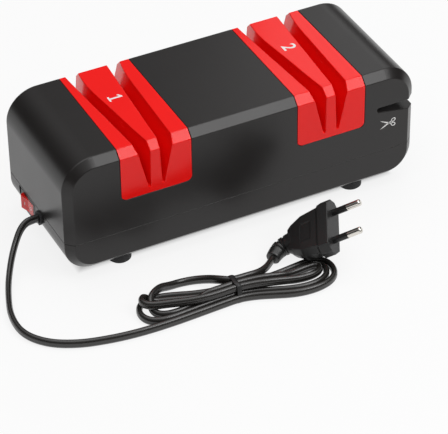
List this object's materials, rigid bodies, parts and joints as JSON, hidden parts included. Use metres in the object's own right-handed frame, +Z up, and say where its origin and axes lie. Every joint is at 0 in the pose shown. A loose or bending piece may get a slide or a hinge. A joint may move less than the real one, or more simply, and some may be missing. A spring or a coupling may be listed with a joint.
{
  "type": "electric knife sharpener",
  "caption": "Mains knife and scissors sharpener with coarse and fine slot guides, grinding wheels on a motor shaft, rocker switch and a hanked flat cord with plug.",
  "frame": {"origin": "on the table, under the middle of the case, measured without the cord and plug", "axes": "+X along the case towards the scissors slot, -Y is the front where the cord hank lies, +Z up"},
  "size_m": [0.2694, 0.1592, 0.082],
  "materials": {
    "housing_black": "satin moulded",
    "guide_red": "glossy moulded",
    "rocker_red": "glossy moulded",
    "rubber_black": "matte",
    "switch_black": "fine texture",
    "steel": "turned",
    "can_zinc": "zinc plated",
    "ceramic_magnet": "sintered",
    "bronze": "sintered bronze and copper",
    "carbon": "pressed carbon",
    "copper_wire": "enamelled wire",
    "grit_coarse": "bonded abrasive",
    "grit_fine": "bonded abrasive, fine",
    "board_green": "paper laminate",
    "component_dark": "moulded",
    "component_yellow": "moulded",
    "cord_vinyl": "soft vinyl",
    "tie_black": "plain",
    "plug_vinyl": "moulded vinyl",
    "sleeve_black": "smooth",
    "pin_nickel": "nickel plated"
  },
  "bodies": {
    "body": {"base_shell": "housing_black", "brush_springs": "steel", "capacitor": "component_yellow", "carbon_brushes": "carbon", "case_screws": "steel", "choke": "component_dark", "circuit_board": "board_green", "coarse_guide": "guide_red", "cord_clamp": "switch_black", "cord_grommet": "rubber_black", "cord_hank": "cord_vinyl", "cord_lead": "cord_vinyl", "cord_tail": "cord_vinyl", "fine_guide": "guide_red", "foot_back_left": "rubber_black", "foot_back_right": "rubber_black", "foot_front_left": "rubber_black", "foot_front_right": "rubber_black", "hank_tie": "tie_black", "inner_lead": "cord_vinyl", "inner_screws": "steel", "left_motor_clamp": "steel", "left_motor_ring": "rubber_black", "left_stand": "switch_black", "motor_bushes": "bronze", "motor_can": "can_zinc", "motor_end_cap": "switch_black", "motor_magnets": "ceramic_magnet", "pin_sleeves": "sleeve_black", "plug_body": "plug_vinyl", "plug_pins": "pin_nickel", "plug_relief": "plug_vinyl", "rectifier": "component_dark", "right_motor_clamp": "steel", "right_motor_ring": "rubber_black", "right_stand": "switch_black", "stand_bushes": "bronze", "switch_body": "switch_black", "switch_terminals": "bronze", "upper_housing": "housing_black"},
    "rotor": {"shaft": "steel", "shaft_clips": "steel", "armature_core": "can_zinc", "armature_winding": "copper_wire", "commutator": "bronze", "cooling_fan": "switch_black", "spring_collars": "steel", "scissors_wheel": "grit_fine", "scissors_wheel_nut_and_collar": "steel", "coarse_left_spring": "steel", "coarse_right_spring": "steel", "fine_left_spring": "steel", "fine_right_spring": "steel"},
    "rocker_body": {"rocker": "rocker_red"},
    "coarse_left_wheel_body": {"coarse_left_wheel": "grit_coarse"},
    "coarse_right_wheel_body": {"coarse_right_wheel": "grit_coarse"},
    "fine_left_wheel_body": {"fine_left_wheel": "grit_fine"},
    "fine_right_wheel_body": {"fine_right_wheel": "grit_fine"}
  },
  "joints": [
    {"name": "rotor_spin", "type": "hinge", "parent": "body", "child": "rotor", "pos_m": [0, 0, 0.046], "axis": [1, 0, 0], "continuous": true},
    {"name": "rocker_pivot", "type": "hinge", "parent": "body", "child": "rocker_body", "pos_m": [-0.108, 0.0145, 0.0188], "axis": [0, 0, 1], "range_deg": [-20, 0]},
    {"name": "coarse_left_slide", "type": "slide", "parent": "rotor", "child": "coarse_left_wheel_body", "axis": [1, 0, 0], "range_m": [0, 0.0012], "stiffness_N_per_m": 500, "springref_m": -0.002, "deforming": ["coarse_left_spring"]},
    {"name": "coarse_right_slide", "type": "slide", "parent": "rotor", "child": "coarse_right_wheel_body", "axis": [-1, 0, 0], "range_m": [0, 0.0012], "stiffness_N_per_m": 500, "springref_m": -0.002, "deforming": ["coarse_right_spring"]},
    {"name": "fine_left_slide", "type": "slide", "parent": "rotor", "child": "fine_left_wheel_body", "axis": [1, 0, 0], "range_m": [0, 0.0012], "stiffness_N_per_m": 500, "springref_m": -0.002, "deforming": ["fine_left_spring"]},
    {"name": "fine_right_slide", "type": "slide", "parent": "rotor", "child": "fine_right_wheel_body", "axis": [-1, 0, 0], "range_m": [0, 0.0012], "stiffness_N_per_m": 500, "springref_m": -0.002, "deforming": ["fine_right_spring"]}
  ]
}
